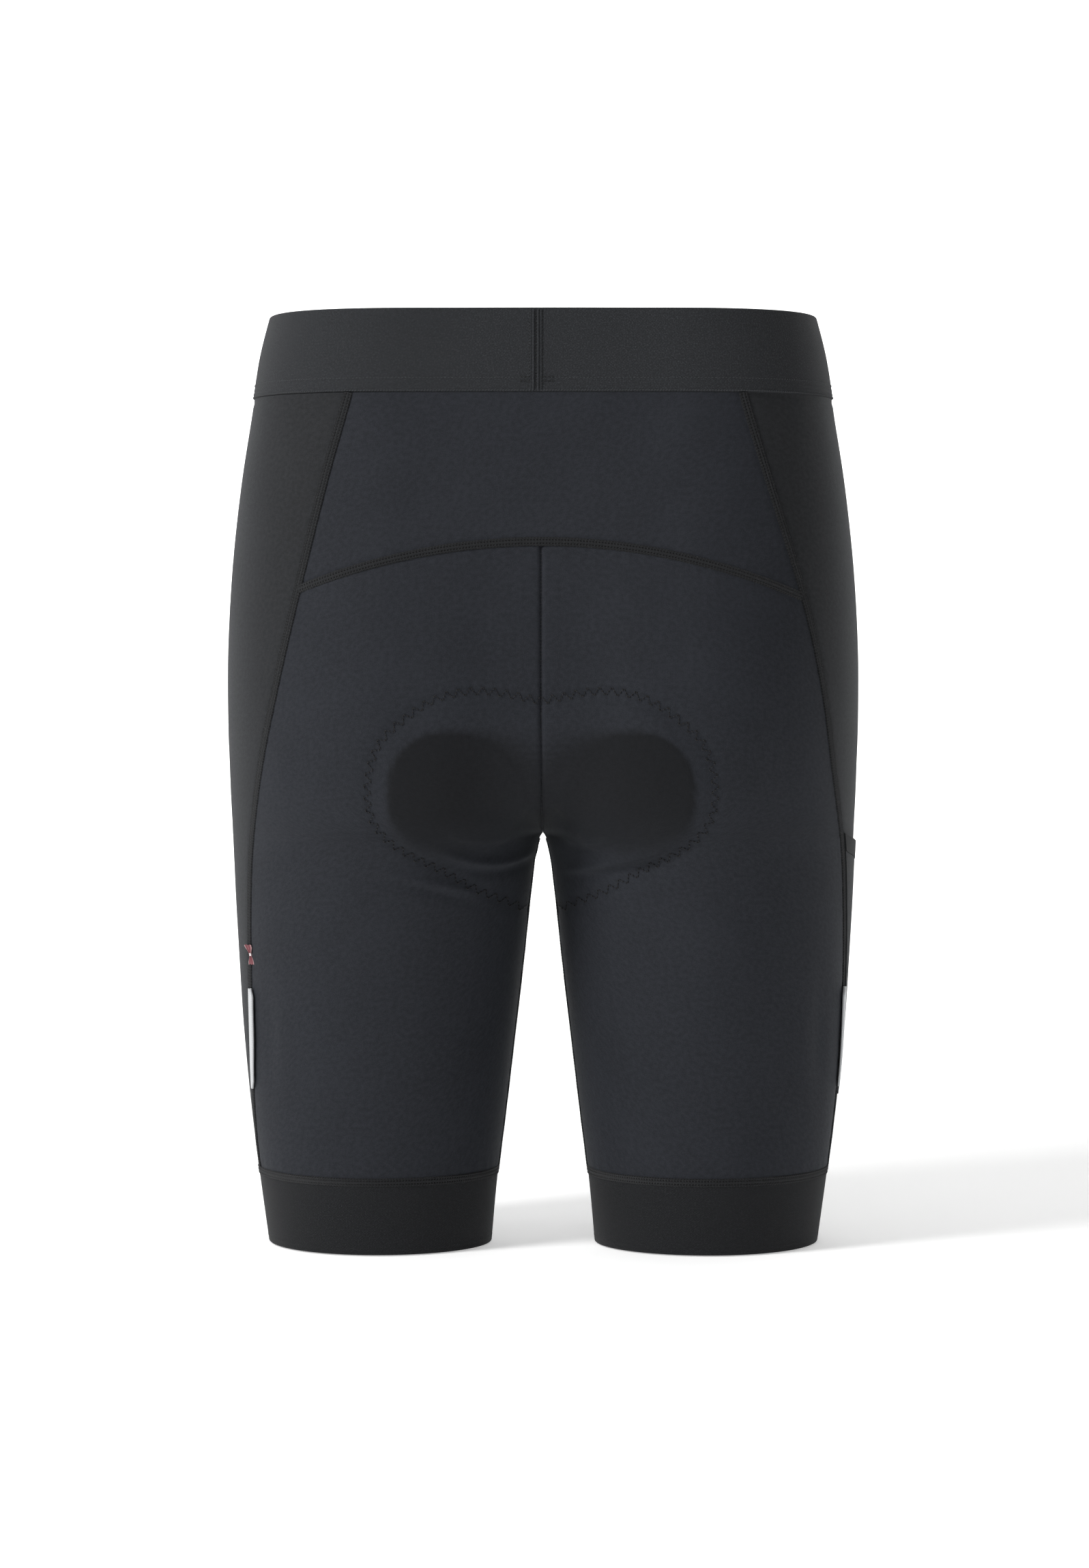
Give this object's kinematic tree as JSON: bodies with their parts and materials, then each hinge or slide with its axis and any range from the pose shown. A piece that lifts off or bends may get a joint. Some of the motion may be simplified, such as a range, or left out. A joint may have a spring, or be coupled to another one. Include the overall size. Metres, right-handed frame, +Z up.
{
  "type": "padded cycling trousers",
  "caption": "Hollow above-knee padded cycling trousers in dark stretch knit, in worn form, with a wide waistband, arched back yoke, thigh pocket, leg bands and reflective tabs.",
  "frame": {"origin": "middle of the waist opening, halfway up the waistband, where the wearer holds the garment up", "axes": "+Z up, +Y the way the wearer faces (front of the garment), +X the wearer's right; the seat faces -Y"},
  "size_m": [0.3503, 0.2287, 0.5131],
  "materials": {
    "main_knit": "matte navy-black stretch knit",
    "side_knit": "matte dark grey stretch knit",
    "waistband_knit": "speckled charcoal elastic",
    "hem_knit": "near-black heathered elastic",
    "pad_foam": "soft knit-faced foam",
    "reflective_tape": "silver woven tape",
    "ribbon": "dusty red satin ribbon"
  },
  "bodies": {
    "root": {"waistband": "waistband_knit", "back_yoke": "main_knit", "seat_left": "main_knit", "seat_right": "main_knit", "side_left": "side_knit", "side_right": "side_knit", "front_left": "main_knit", "front_right": "main_knit", "hem_left": "hem_knit", "hem_right": "hem_knit", "seat_pad": "pad_foam", "pocket_right": "side_knit", "pocket_hem_right": "hem_knit", "tab_left": "reflective_tape", "tab_right": "reflective_tape", "ribbon_tag": "ribbon"}
  },
  "joints": []
}
